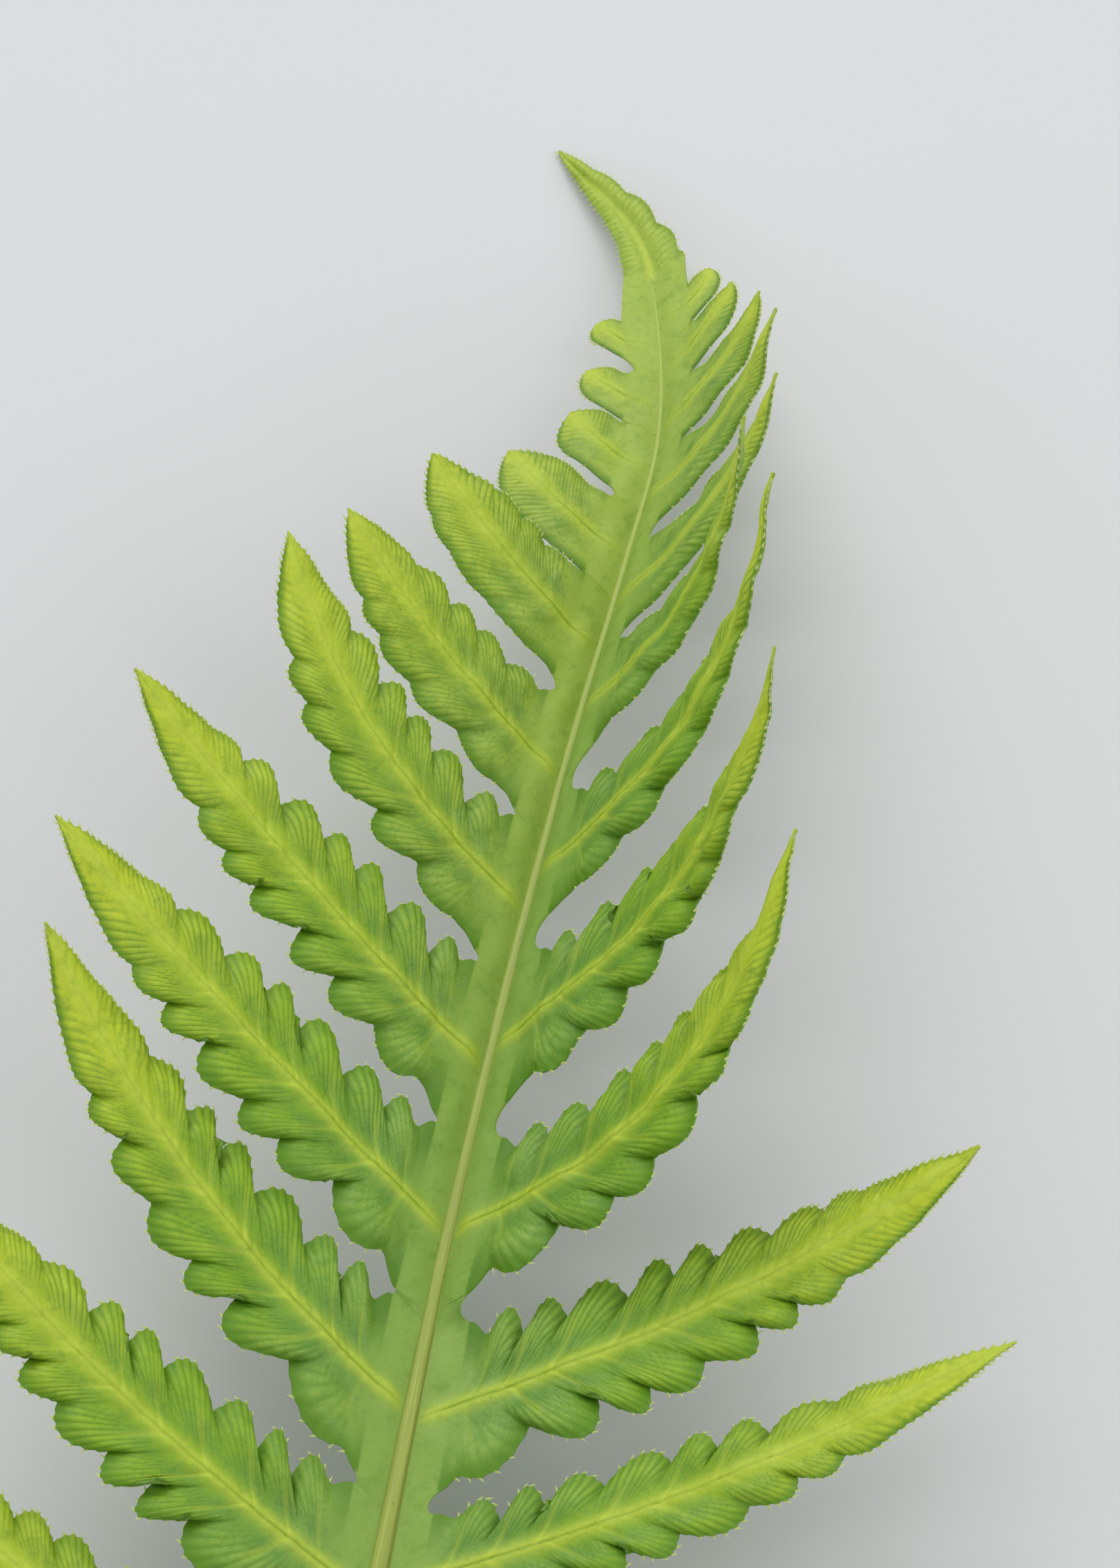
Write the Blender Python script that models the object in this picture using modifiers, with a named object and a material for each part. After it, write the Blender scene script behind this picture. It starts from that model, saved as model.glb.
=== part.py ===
"""A young fern frond, picked and laid on its back: a pale stalk that carries a lobed green blade.

Lengths are in metres. The stalk runs along +Y from its cut end to the tip, +Z is up and the frond
rests on Z = 0. The blade folds up along the stalk like an open book, more on its right than its left.
"""

from math import cos, pi, radians, sin

import bmesh
import bpy
import numpy as np
from mathutils import Vector

MM = 0.001
UP = np.array([0.0, 0.0, 1.0])

# Points on the middle of the stalk, from the cut end to the tip of the blade: x, y, z in millimetres
STALK_LINE = (
    (0.0, -167.0, 1.6),
    (-0.2, -149.0, 1.6),
    (-0.6, -131.0, 1.7),
    (-1.4, -107.0, 3.4),
    (-2.6, -79.0, 7.6),
    (-3.4, -51.0, 12.0),
    (-3.0, -25.0, 14.6),
    (-2.4, 5.0, 15.8),
    (-1.0, 37.0, 16.0),
    (1.0, 69.0, 14.9),
    (3.4, 97.0, 13.0),
    (4.5, 117.0, 10.8),
    (1.7, 136.0, 8.0),
    (-3.2, 151.5, 4.8),
    (-15.5, 167.0, 0.3),
)

# Half the thickness of the stalk at distances along it from the cut end, in millimetres
STALK_RADIUS = ((0, 1.9), (60, 1.6), (140, 1.0), (237, 0.62), (300, 0.36), (312, 0.3))
STALK_END = 312.0
STALK_POINTS = 60
STALK_ROUNDNESS = 2

# The green blade: how thick it is, how wide its wing is beside the stalk and the gap to the stalk
BLADE_THICKNESS = 0.7
WING_WIDTH = 4.5
STALK_GAP = 0.45

# The leaflets of one side, counted from the lowest: each value is given at some leaflets and runs
# evenly between them. base is the place on the stalk, then length and half width in millimetres,
# the angle from the stalk at the root and the tip, and the fold up from level at the root and the tip
LEAFLETS = 13
LEFT = {
    "side": -1,
    "base": ((0, 99), (3, 157.5), (4, 177.5), (6, 216.5), (8, 252), (9, 266), (10, 279), (12, 299)),
    "length": (
        (0, 50), (2, 60), (3, 58), (5, 52), (6, 46), (7, 34), (8, 26), (9, 16), (10, 9), (11, 6.5), (12, 4.5)
    ),
    "half_width": (
        (0, 6.8), (2, 8.0), (5, 8.0), (7, 6.9), (8, 6.2), (9, 5.0), (10, 4.2), (11, 2.9), (12, 2.2)
    ),
    "angle_root": ((0, 66), (2, 65), (3, 60), (4, 64), (9, 62), (12, 50)),
    "angle_tip": ((0, 58), (2, 56), (3, 45), (4, 60), (5, 58), (6, 34), (7, 52), (8, 48), (12, 40)),
    "fold_root": ((0, -8), (2, 16), (4, 28), (8, 24), (10, 4), (12, -6)),
    "fold_tip": ((0, -18), (2, 24), (3, 36), (4, 30), (6, 30), (7, 30), (8, 12), (9, -12), (12, -20)),
}
RIGHT = {
    "side": 1,
    "base": ((0, 98), (2, 139), (3, 157), (4, 178), (7, 243), (9, 274), (10, 285.5), (11, 295), (12, 302.5)),
    "length": (
        (0, 50), (2, 64), (3, 60), (4, 55), (5, 54), (6, 50), (7, 38),
        (8, 30), (9, 24), (10, 16), (11, 9.5), (12, 5.5),
    ),
    "half_width": (
        (0, 6.8), (1, 7.0), (2, 5.8), (3, 7.8), (5, 8.2), (6, 7.0), (7, 6.2),
        (9, 5.3), (10, 4.2), (11, 3.0), (12, 2.2),
    ),
    "angle_root": ((0, 66), (3, 64), (4, 70), (5, 66), (9, 62), (12, 50)),
    "angle_tip": ((0, 60), (3, 56), (4, 28), (5, 55), (6, 44), (7, 62), (9, 50), (10, 46), (12, 20)),
    "fold_root": ((0, -8), (2, 8), (3, 12), (4, 36), (5, 46), (7, 54), (9, 54), (10, 48), (12, 28)),
    "fold_tip": ((0, -18), (2, 16), (3, 28), (4, 69), (5, 82), (7, 90), (8, 73), (9, 75), (10, 60), (12, 26)),
}

# The outline of one leaflet: lobes on its lower part, then a plain pointed end
WIDTH_POWER = ((0, 1.4), (5, 1.5), (7, 1.9))
LOBE_LENGTH = 6.2
LOBED_SHARE = 0.68
LOBE_DEPTH = ((0, 0.30), (5, 0.28), (8, 0.12), (12, 0.0))
LOBE_FADE = 0.6
LOBE_STEPS = (0.0, 0.4, 0.8)
TIP_STEPS = 4
EDGE_DROOP = 0.05

# The rows of a leaflet lean forward, by an angle in degrees. Over the first share of its length they
# turn into this from lying along the stalk
FORWARD_LEAN = 20.0
LEAN_SETTLED = 0.25

# The last stretch of the blade, past the end of the stalk: how far each side reaches where it starts
TIP_REACH = {-1: 3.4, 1: 4.8}
TIP_TAPER = 0.75
TIP_ROWS = 7

BLADE_COLOUR = (0.181, 0.402, 0.048, 1.0)
STALK_COLOUR = (0.402, 0.485, 0.115, 1.0)


def keyed(keys, place):
    """The value at a place, running evenly between the given ones."""
    places, values = zip(*keys)
    return float(np.interp(place, places, values))


def eased(share):
    share = min(max(share, 0.0), 1.0)
    return share * share * (3.0 - 2.0 * share)


def mixed(start, end, share):
    return start + (end - start) * share


class Line:
    """A smooth line through points, read by the distance along it."""

    def __init__(self, points, steps=24):
        known = np.array(points, float)
        known = np.vstack([2 * known[0] - known[1], known, 2 * known[-1] - known[-2]])
        share = np.linspace(0.0, 1.0, steps, endpoint=False)[:, None]
        pieces = []
        for a, b, c, d in zip(known, known[1:], known[2:], known[3:]):
            cubic = -a + 3 * b - 3 * c + d
            square = 2 * a - 5 * b + 4 * c - d
            pieces.append(b + 0.5 * share * (c - a + share * (square + share * cubic)))
        self.points = np.vstack([*pieces, known[-2:-1]])
        gaps = np.linalg.norm(np.diff(self.points, axis=0), axis=1)
        self.places = np.concatenate([[0.0], np.cumsum(gaps)])
        self.length = float(self.places[-1])

    def at(self, place):
        return np.array([np.interp(place, self.places, self.points[:, i]) for i in range(3)])

    def frame(self, place):
        """The forward, left-to-right and upward directions at a place."""
        forward = self.at(place + 2.0) - self.at(place - 2.0)
        forward /= np.linalg.norm(forward)
        across = np.cross(forward, UP)
        across /= np.linalg.norm(across)
        return forward, across, np.cross(across, forward)


STALK = Line(STALK_LINE)


def side_direction(side, place, fold):
    """The direction from the stalk towards one side, folded up by an angle in degrees."""
    _, across, upward = STALK.frame(place)
    return side * cos(radians(fold)) * across + sin(radians(fold)) * upward


def half_width_share(along, index):
    """How wide a leaflet is at a share of its length, beside its widest."""
    return cos(0.5 * pi * along ** keyed(WIDTH_POWER, index)) * (1.05 - 0.05 * eased(along / 0.2))


def lobe_share(phase):
    """How far the edge stands out within one lobe, from 0 at its ends to 1."""
    return max(sin(pi * phase**1.3), 0.0) ** 0.6


def leaflet_stations(length, index):
    """The places along a leaflet that its rows stand at, each with its share of full width."""
    depth = keyed(LOBE_DEPTH, index)
    lobes = max(1, round(LOBED_SHARE * length / LOBE_LENGTH))
    first = min(0.06, 1.0 / length)
    stations = []
    for lobe in range(lobes):
        for phase in LOBE_STEPS:
            along = mixed(first, LOBED_SHARE, (lobe + phase) / lobes)
            notch = depth * (1.0 - LOBE_FADE * along) * (1.0 - lobe_share(phase))
            stations.append((along, half_width_share(along, index) * (1.0 - notch)))
    for step in range(TIP_STEPS):
        along = mixed(LOBED_SHARE, 1.0, step / TIP_STEPS)
        stations.append((along, half_width_share(along, index)))
    return stations


def leaflet_rows(sheet, index):
    """The rows of a leaflet from its root to its end: lower edge, rib and upper edge."""
    side = sheet["side"]
    base = keyed(sheet["base"], index)
    length = keyed(sheet["length"], index)
    half_width = keyed(sheet["half_width"], index)
    angles = radians(keyed(sheet["angle_root"], index)), radians(keyed(sheet["angle_tip"], index))
    folds = keyed(sheet["fold_root"], index), keyed(sheet["fold_tip"], index)
    forward, _, _ = STALK.frame(base)
    lead = WING_WIDTH / np.tan(angles[0])
    rib = STALK.at(base + lead) + WING_WIDTH * side_direction(side, base, folds[0])
    half_root = half_width / sin(angles[0])
    rows = [(rib - half_root * forward, rib, rib + half_root * forward)]
    past = 0.0
    for along, width in leaflet_stations(length, index):
        turn = eased(0.5 * (past + along))
        angle = mixed(*angles, turn)
        outward = side_direction(side, base, mixed(*folds, turn))
        ahead = cos(angle) * forward + sin(angle) * outward
        beside = sin(angle) * forward - cos(angle) * outward
        below = side * np.cross(beside, ahead)
        rib = rib + ahead * length * (along - past)
        past = along
        edges = []
        for way in (-1, 1):
            root_lean = way * (90.0 - np.degrees(angles[0]))
            lean = radians(mixed(root_lean, FORWARD_LEAN, eased(along / LEAN_SETTLED)))
            edge = way * beside + np.tan(lean) * ahead + EDGE_DROOP * below
            edges.append(rib + half_width * width * edge)
        rows.append((edges[0], rib, edges[1]))
    rows.append(rib + ahead * length * (1.0 - past))
    return rows


def tip_rows():
    """The rows of the last stretch of the blade, past the end of the stalk."""
    rows = []
    for step in range(TIP_ROWS):
        share = step / TIP_ROWS
        place = mixed(STALK_END + 2 * STALK_GAP, STALK.length, share)
        middle = STALK.at(place)
        left, right = (
            middle
            + TIP_REACH[sheet["side"]]
            * (1.0 - share) ** TIP_TAPER
            * side_direction(sheet["side"], place, fold_at(sheet, place))
            for sheet in (LEFT, RIGHT)
        )
        rows.append((left, middle, right))
    rows.append(STALK.at(STALK.length))
    return rows


class Sheet:
    """An open sheet under construction, laid on the floor wherever it would dip below it."""

    def __init__(self):
        self.mesh = bmesh.new()

    def point(self, place):
        x, y, z = place
        return self.mesh.verts.new(Vector((x, y, max(z, BLADE_THICKNESS / 2))) * MM)

    def face(self, corners, side):
        self.mesh.faces.new(corners if side > 0 else corners[::-1])

    def strip(self, first, second, side):
        """The faces between two rows of points, or between a row and the single point that ends it."""
        if len(second) == 1:
            for a, b in zip(first, first[1:]):
                self.face((a, second[0], b), side)
            return
        for a, b, c, d in zip(first, first[1:], second, second[1:]):
            self.face((a, c, d, b), side)

    def rows(self, rows, side):
        made = []
        for row in rows:
            made.append([self.point(place) for place in (row if isinstance(row, tuple) else (row,))])
        for first, second in zip(made, made[1:]):
            self.strip(first, second, side)
        return made


def stalk_radius(place):
    return keyed(STALK_RADIUS, place)


def fold_at(sheet, place):
    """The fold of the wing at a place along the stalk."""
    roots = [(keyed(sheet["base"], index), keyed(sheet["fold_root"], index)) for index in range(LEAFLETS)]
    return keyed(roots, place)


def add_side(blade, sheet, tip_middle, tip_edge):
    """One side of the blade: its leaflets, and the wing along the stalk that joins their roots."""
    side = sheet["side"]
    outer = []
    for index in range(LEAFLETS):
        root = blade.rows(leaflet_rows(sheet, index), side)[0]
        outer.extend(root)
    outer.append(tip_edge)
    columns = []
    for point in outer:
        place = min(nearest_place(point.co / MM), STALK_END)
        reach = stalk_radius(place) + STALK_GAP
        inner = STALK.at(place) + reach * side_direction(side, place, fold_at(sheet, place))
        columns.append((blade.point(inner), point))
    for (inner, edge), (next_inner, next_edge) in zip(columns, columns[1:]):
        blade.face((inner, edge, next_edge, next_inner), side)
    blade.face((columns[-1][0], tip_edge, tip_middle), side)


def nearest_place(point):
    gaps = np.linalg.norm(STALK.points - np.array(point), axis=1)
    return float(STALK.places[gaps.argmin()])


def material(name, colour, roughness):
    made = bpy.data.materials.new(name)
    made.use_nodes = True
    shader = made.node_tree.nodes["Principled BSDF"]
    shader.inputs["Base Color"].default_value = colour
    shader.inputs["Roughness"].default_value = roughness
    shader.inputs["Metallic"].default_value = 0.0
    return made


def place_in(collection, name, data, finish):
    made = bpy.data.objects.new(name, data)
    data.materials.append(finish)
    collection.objects.link(made)
    return made


def make_blade(collection):
    blade = Sheet()
    tip = blade.rows(tip_rows(), 1)
    left_edge, middle, right_edge = tip[0]
    add_side(blade, LEFT, middle, left_edge)
    add_side(blade, RIGHT, middle, right_edge)
    bmesh.ops.recalc_face_normals(blade.mesh, faces=blade.mesh.faces)
    bmesh.ops.triangulate(blade.mesh, faces=blade.mesh.faces)
    data = bpy.data.meshes.new("blade")
    blade.mesh.to_mesh(data)
    blade.mesh.free()
    made = place_in(collection, "blade", data, material("leaf green", BLADE_COLOUR, 0.5))
    thicken = made.modifiers.new("thickness", "SOLIDIFY")
    thicken.thickness = BLADE_THICKNESS * MM
    thicken.offset = 0.0
    return made


def make_stalk(collection):
    """A tapering round stalk, cut flat underneath where it lies on the floor."""
    curve = bpy.data.curves.new("stalk line", "CURVE")
    curve.dimensions = "3D"
    curve.bevel_depth = MM
    curve.bevel_resolution = STALK_ROUNDNESS
    curve.use_fill_caps = True
    spline = curve.splines.new("POLY")
    spline.points.add(STALK_POINTS - 1)
    for point, place in zip(spline.points, np.linspace(0.0, STALK_END, STALK_POINTS)):
        point.co = (*(STALK.at(place) * MM), 1.0)
        point.radius = stalk_radius(place)
    guide = bpy.data.objects.new("stalk guide", curve)
    collection.objects.link(guide)
    bpy.context.view_layer.update()
    data = bpy.data.meshes.new_from_object(guide.evaluated_get(bpy.context.evaluated_depsgraph_get()))
    bpy.data.objects.remove(guide)
    bpy.data.curves.remove(curve)
    weld(data)
    data.name = "stalk"
    data.materials.clear()
    made = place_in(collection, "stalk", data, material("pale stalk", STALK_COLOUR, 0.45))
    flatten = made.modifiers.new("flat underside", "BOOLEAN")
    flatten.operation = "DIFFERENCE"
    flatten.object = floor_cutter()
    return made


def weld(data):
    mesh = bmesh.new()
    mesh.from_mesh(data)
    bmesh.ops.remove_doubles(mesh, verts=mesh.verts, dist=MM / 1000)
    mesh.to_mesh(data)
    mesh.free()


def floor_cutter():
    """A block whose top face is the floor that the frond rests on."""
    cutters = bpy.data.collections.new("cutters")
    bpy.context.scene.collection.children.link(cutters)
    block = bmesh.new()
    bmesh.ops.create_cube(block, size=1.0)
    data = bpy.data.meshes.new("floor cutter")
    block.to_mesh(data)
    block.free()
    made = bpy.data.objects.new("floor cutter", data)
    made.scale = (0.4, 0.8, 0.02)
    made.location = (0.0, 0.0, -0.01)
    made.hide_render = True
    made.display_type = "WIRE"
    cutters.objects.link(made)
    return made


def main():
    for existing in list(bpy.data.objects):
        bpy.data.objects.remove(existing)
    frond = bpy.data.collections.new("fern frond")
    bpy.context.scene.collection.children.link(frond)
    make_blade(frond)
    make_stalk(frond)


main()
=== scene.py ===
from math import cos, pi, radians, sin, tan

import bpy
import numpy as np
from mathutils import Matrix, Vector


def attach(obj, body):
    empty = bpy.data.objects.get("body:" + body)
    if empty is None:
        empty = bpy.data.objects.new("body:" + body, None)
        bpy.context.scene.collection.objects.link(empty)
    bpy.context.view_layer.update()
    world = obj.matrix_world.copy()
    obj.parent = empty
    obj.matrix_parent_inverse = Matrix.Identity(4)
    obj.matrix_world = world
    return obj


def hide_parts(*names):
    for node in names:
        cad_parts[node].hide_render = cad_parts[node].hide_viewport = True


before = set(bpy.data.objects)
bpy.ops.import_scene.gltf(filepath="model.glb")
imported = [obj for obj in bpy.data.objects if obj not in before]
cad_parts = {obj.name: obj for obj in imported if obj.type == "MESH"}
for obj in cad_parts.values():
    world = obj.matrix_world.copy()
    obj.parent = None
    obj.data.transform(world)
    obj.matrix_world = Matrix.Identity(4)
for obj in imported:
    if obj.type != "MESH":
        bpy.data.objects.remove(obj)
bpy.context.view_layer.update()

# The camera
# It looks down on the laid frond from its foot, a little from the right, with a short telephoto
# lens on a full-frame body. It is set up from the given values and has no depth of field.

LENS = 88.0
CAMERA_DISTANCE = 0.430
CAMERA_TARGET = Vector((0.0006, 0.0665, 0.0140))
CAMERA_HEIGHT_ANGLE = radians(60.0)
CAMERA_TURN = radians(9.0)
SENSOR_WIDTH = 36.0
NEAREST = 0.01

looking = Vector(
    (
        -sin(CAMERA_TURN) * cos(CAMERA_HEIGHT_ANGLE),
        cos(CAMERA_TURN) * cos(CAMERA_HEIGHT_ANGLE),
        -sin(CAMERA_HEIGHT_ANGLE),
    )
)
lens = bpy.data.cameras.new("camera")
lens.lens = LENS
lens.sensor_width = SENSOR_WIDTH
lens.clip_start = NEAREST
camera = bpy.data.objects.new("camera", lens)
camera.location = CAMERA_TARGET - looking * CAMERA_DISTANCE
camera.rotation_euler = looking.to_track_quat("-Z", "Y").to_euler()
bpy.context.scene.collection.objects.link(camera)
bpy.context.scene.camera = camera
bpy.context.scene.view_settings.view_transform = "Standard"


# The floor and the light
# A plain sheet of pale matt paper under even daylight. One large soft light stands at the upper left
# and a weak one at the right, both turned to the middle of the blade.

FLOOR_HALF = 3.0
SKY_COLOUR = (0.97, 0.985, 1.0)
SKY_STRENGTH = 0.70
LIT_PLACE = Vector((0.0, 0.05, 0.0))
PAPER_GREYS = ((200, 201, 202), (205, 205, 205))
SOFT_LIGHTS = (
    # name, place, size, power
    ("soft light left", (-0.8, 1.5, 1.8), 2.0, 34.0),
    ("soft light right", (1.4, -0.5, 1.4), 1.6, 9.0),
)


class Value:
    """A number, a colour or a direction in a finish, which sums can be written with."""

    def __init__(self, finish, socket):
        self.finish = finish
        self.socket = socket

    def __add__(self, other):
        return self.finish.sum("ADD", self, other)

    def __sub__(self, other):
        return self.finish.sum("SUBTRACT", self, other)

    def __rsub__(self, other):
        return self.finish.sum("SUBTRACT", other, self)

    def __mul__(self, other):
        return self.finish.sum("MULTIPLY", self, other)

    def __abs__(self):
        return self.finish.sum("ABSOLUTE", self, 0.0)

    __radd__ = __add__
    __rmul__ = __mul__


class Finish:
    """The look of one surface: a shader and the nodes that feed it."""

    def __init__(self, name, **fixed):
        self.material = bpy.data.materials.new(name)
        self.material.use_nodes = True
        self.tree = self.material.node_tree
        self.shader = self.tree.nodes["Principled BSDF"]
        self.output = self.tree.nodes["Material Output"]
        for socket, value in fixed.items():
            self.shader.inputs[socket.replace("_", " ")].default_value = value

    def node(self, kind, settings=None, inputs=None, output=0):
        """Any node: its settings are set first, then the values or links of its sockets."""
        made = self.tree.nodes.new(kind)
        for setting, value in (settings or {}).items():
            setattr(made, setting, value)
        for socket, value in (inputs or {}).items():
            self.connect(value, made.inputs[socket])
        return Value(self, made.outputs[output])

    def connect(self, value, socket):
        if isinstance(value, Value):
            self.tree.links.new(value.socket, socket)
        else:
            socket.default_value = value

    def sum(self, operation, first, second):
        return self.node("ShaderNodeMath", {"operation": operation}, {0: first, 1: second})

    def eased(self, value, start, end):
        """Goes smoothly from 0 to 1 as the value goes from start to end."""
        settings = {"interpolation_type": "SMOOTHSTEP"}
        inputs = {"Value": value, "From Min": start, "From Max": end}
        return self.node("ShaderNodeMapRange", settings, inputs)

    def blend(self, share, first, second):
        """Two colours blended; 0 gives the first and 1 the second."""
        settings = {"data_type": "RGBA", "blend_type": "MIX"}
        return self.node("ShaderNodeMix", settings, {0: share, 6: first, 7: second}, 2)

    def noise(self, place, scale, detail=2.0, roughness=0.5):
        inputs = {"Vector": place, "Scale": scale, "Detail": detail, "Roughness": roughness}
        return self.node("ShaderNodeTexNoise", None, inputs)

    def place(self):
        """Where a point is on the object, in metres."""
        return self.node("ShaderNodeTexCoord", None, None, "Object")

    def reading(self, name):
        """What the mesh says at each point under this name."""
        return self.node("ShaderNodeAttribute", {"attribute_name": name}, None, "Fac")


def colour(red, green, blue):
    """A colour from its screen values, 0 to 255."""
    shares = (red / 255.0, green / 255.0, blue / 255.0)
    return (*(s / 12.92 if s <= 0.04045 else ((s + 0.055) / 1.055) ** 2.4 for s in shares), 1.0)


paper = Finish("pale paper", Roughness=0.9, Specular_IOR_Level=0.1)
paper_cloud = paper.noise(paper.place(), 9.0, 3.0)
paper_colour = paper.blend(paper_cloud, colour(*PAPER_GREYS[0]), colour(*PAPER_GREYS[1]))
paper.connect(paper_colour, paper.shader.inputs["Base Color"])

floor_mesh = bpy.data.meshes.new("floor")
floor_corners = [(x * FLOOR_HALF, y * FLOOR_HALF, 0.0) for x, y in ((-1, -1), (1, -1), (1, 1), (-1, 1))]
floor_mesh.from_pydata(floor_corners, [], [(0, 1, 2, 3)])
floor_mesh.materials.append(paper.material)
floor = bpy.data.objects.new("floor", floor_mesh)
bpy.context.scene.collection.objects.link(floor)

sky = bpy.data.worlds.new("daylight")
sky.use_nodes = True
sky.node_tree.nodes["Background"].inputs["Color"].default_value = (*SKY_COLOUR, 1.0)
sky.node_tree.nodes["Background"].inputs["Strength"].default_value = SKY_STRENGTH
bpy.context.scene.world = sky

for light_name, light_place, light_size, light_power in SOFT_LIGHTS:
    light = bpy.data.lights.new(light_name, "AREA")
    light.shape = "DISK"
    light.size = light_size
    light.energy = light_power
    lamp = bpy.data.objects.new(light_name, light)
    lamp.location = light_place
    lamp.rotation_euler = (LIT_PLACE - lamp.location).to_track_quat("-Z", "Y").to_euler()
    bpy.context.scene.collection.objects.link(lamp)


# The stalk
# The juicy pale stem of the frond, cut off at its foot. It is round with a shallow groove along its
# upper side, browner towards the cut, and thins out until it is the rib of the blade.

MM = 0.001
UP = np.array([0.0, 0.0, 1.0])
STALK_LINE = (
    # x, y, z in millimetres, from the cut end to the tip of the blade
    (0.0, -167.0, 1.6),
    (-0.2, -149.0, 1.6),
    (-0.6, -131.0, 1.7),
    (-1.4, -107.0, 3.4),
    (-2.6, -79.0, 7.6),
    (-3.4, -51.0, 12.0),
    (-3.0, -25.0, 14.6),
    (-2.4, 5.0, 15.8),
    (-1.0, 37.0, 16.0),
    (1.0, 69.0, 14.9),
    (3.4, 97.0, 13.0),
    (4.5, 117.0, 10.8),
    (1.7, 136.0, 8.0),
    (-3.2, 151.5, 4.8),
    (-15.5, 167.0, 0.3),
)
STALK_RADIUS = ((0, 1.9), (60, 1.6), (140, 1.0), (237, 0.62), (290, 0.36), (312, 0.16))
STALK_END = 312.0
STALK_STEP = 0.4
STALK_SIDES = 32
GROOVE_DEPTH = 0.09
GROOVE_HALF = 0.35
RIBBING = 0.012
RIBS = 9
SWELLING = 0.03
SWELLING_LENGTHS = (7.0, 19.0)
CUT_RINGS = 8
CUT_HOLLOW = 0.25
CRISP_ANGLE = radians(60.0)

STEM_GREENS = ((132, 146, 56), (160, 172, 78))
# Painted shade down the right flank of the stalk
STEM_RIGHT_SHADE = (118, 124, 50)
STEM_UPPER = (178, 200, 84)
STEM_FOOT = (142, 128, 70)
STEM_SPECK = (98, 84, 40)
CUT_RIM = (96, 78, 44)
CUT_FLESH = (190, 196, 128)


def keyed(keys, place):
    """The value at a place, running evenly between the given ones."""
    places, values = zip(*keys)
    return np.interp(place, places, values)


def eased(share):
    share = np.clip(share, 0.0, 1.0)
    return share * share * (3.0 - 2.0 * share)


def mixed(start, end, share):
    return start + (end - start) * share


def bell(distance):
    return np.exp(-(distance**2))


class Line:
    """A smooth line through points, read by the distance along it."""

    def __init__(self, points, steps=24):
        known = np.array(points, float)
        known = np.vstack([2 * known[0] - known[1], known, 2 * known[-1] - known[-2]])
        share = np.linspace(0.0, 1.0, steps, endpoint=False)[:, None]
        pieces = []
        for a, b, c, d in zip(known, known[1:], known[2:], known[3:]):
            cubic = -a + 3 * b - 3 * c + d
            square = 2 * a - 5 * b + 4 * c - d
            pieces.append(b + 0.5 * share * (c - a + share * (square + share * cubic)))
        self.points = np.vstack([*pieces, known[-2:-1]])
        gaps = np.linalg.norm(np.diff(self.points, axis=0), axis=1)
        self.places = np.concatenate([[0.0], np.cumsum(gaps)])
        self.length = float(self.places[-1])

    def at(self, place):
        return np.stack([np.interp(place, self.places, self.points[:, i]) for i in range(3)], axis=-1)

    def frame(self, place):
        """The forward, left-to-right and upward directions at a place, or at each of many."""
        forward = self.at(np.asarray(place) + 2.0) - self.at(np.asarray(place) - 2.0)
        forward /= np.linalg.norm(forward, axis=-1, keepdims=True)
        across = np.cross(forward, UP)
        across /= np.linalg.norm(across, axis=-1, keepdims=True)
        return forward, across, np.cross(across, forward)

    def nearest(self, points):
        """The place on the line nearest to each point."""
        places = np.arange(0.0, self.length, 0.1)
        gaps = np.linalg.norm(self.at(places)[None] - np.asarray(points)[:, None], axis=2)
        return places[gaps.argmin(axis=1)]


def piece_of(name, points, triangles, readings, finish, slot, node):
    """Makes one piece from points in millimetres, hangs it on the root body and hides the solid of the frond
    that it stands for.
    """
    mesh = bpy.data.meshes.new(name)
    mesh.from_pydata(points * MM, [], triangles)
    for reading, values in readings.items():
        mesh.attributes.new(reading, "FLOAT", "POINT").data.foreach_set("value", values.astype(np.float32))
    mesh.polygons.foreach_set("use_smooth", np.ones(len(mesh.polygons), bool))
    mesh.materials.append(finish.material)
    mesh.validate()
    mesh.set_sharp_from_angle(angle=CRISP_ANGLE)
    piece = bpy.data.objects.new(name, mesh)
    bpy.context.scene.collection.objects.link(piece)
    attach(piece, "root")
    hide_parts(node)


def grid_triangles(rows, columns, first=0):
    """The triangles of a grid of points, two to each of its cells."""
    corner = first + np.arange(rows - 1)[:, None] * columns + np.arange(columns - 1)[None]
    corner = corner.ravel()
    beside, ahead = corner + 1, corner + columns
    return np.vstack(
        [
            np.stack([corner, beside, ahead + 1], axis=1),
            np.stack([corner, ahead + 1, ahead], axis=1),
        ]
    )


STALK = Line(STALK_LINE)


def stalk_radius(place):
    return keyed(STALK_RADIUS, place)


stalk_places = np.arange(0.0, STALK_END + STALK_STEP / 2, STALK_STEP)
stalk_turns = np.linspace(0.0, 2 * pi, STALK_SIDES, endpoint=False)
_, stalk_across, stalk_upward = STALK.frame(stalk_places)
from_top = np.abs((stalk_turns + pi) % (2 * pi) - pi)
groove = 1.0 - GROOVE_DEPTH * bell(from_top / GROOVE_HALF)
ribbing = 1.0 + RIBBING * np.cos(RIBS * stalk_turns)
short, long = (np.sin(stalk_places / length) for length in SWELLING_LENGTHS)
swelling = 1.0 + SWELLING * short * long
reach = (stalk_radius(stalk_places) * swelling)[:, None] * (groove * ribbing)[None]
stalk_points = (
    STALK.at(stalk_places)[:, None]
    + (reach * np.sin(stalk_turns)[None])[..., None] * stalk_across[:, None]
    + (reach * np.cos(stalk_turns)[None])[..., None] * stalk_upward[:, None]
)
stalk_closed = np.concatenate([np.arange(STALK_SIDES), [0]])
index_grid = (np.arange(len(stalk_places))[:, None] * STALK_SIDES + stalk_closed[None]).ravel()
stalk_triangles = index_grid[grid_triangles(len(stalk_places), STALK_SIDES + 1)]
stalk_along = np.repeat(stalk_places, STALK_SIDES)
stalk_around = np.tile(stalk_turns, len(stalk_places))

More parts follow.
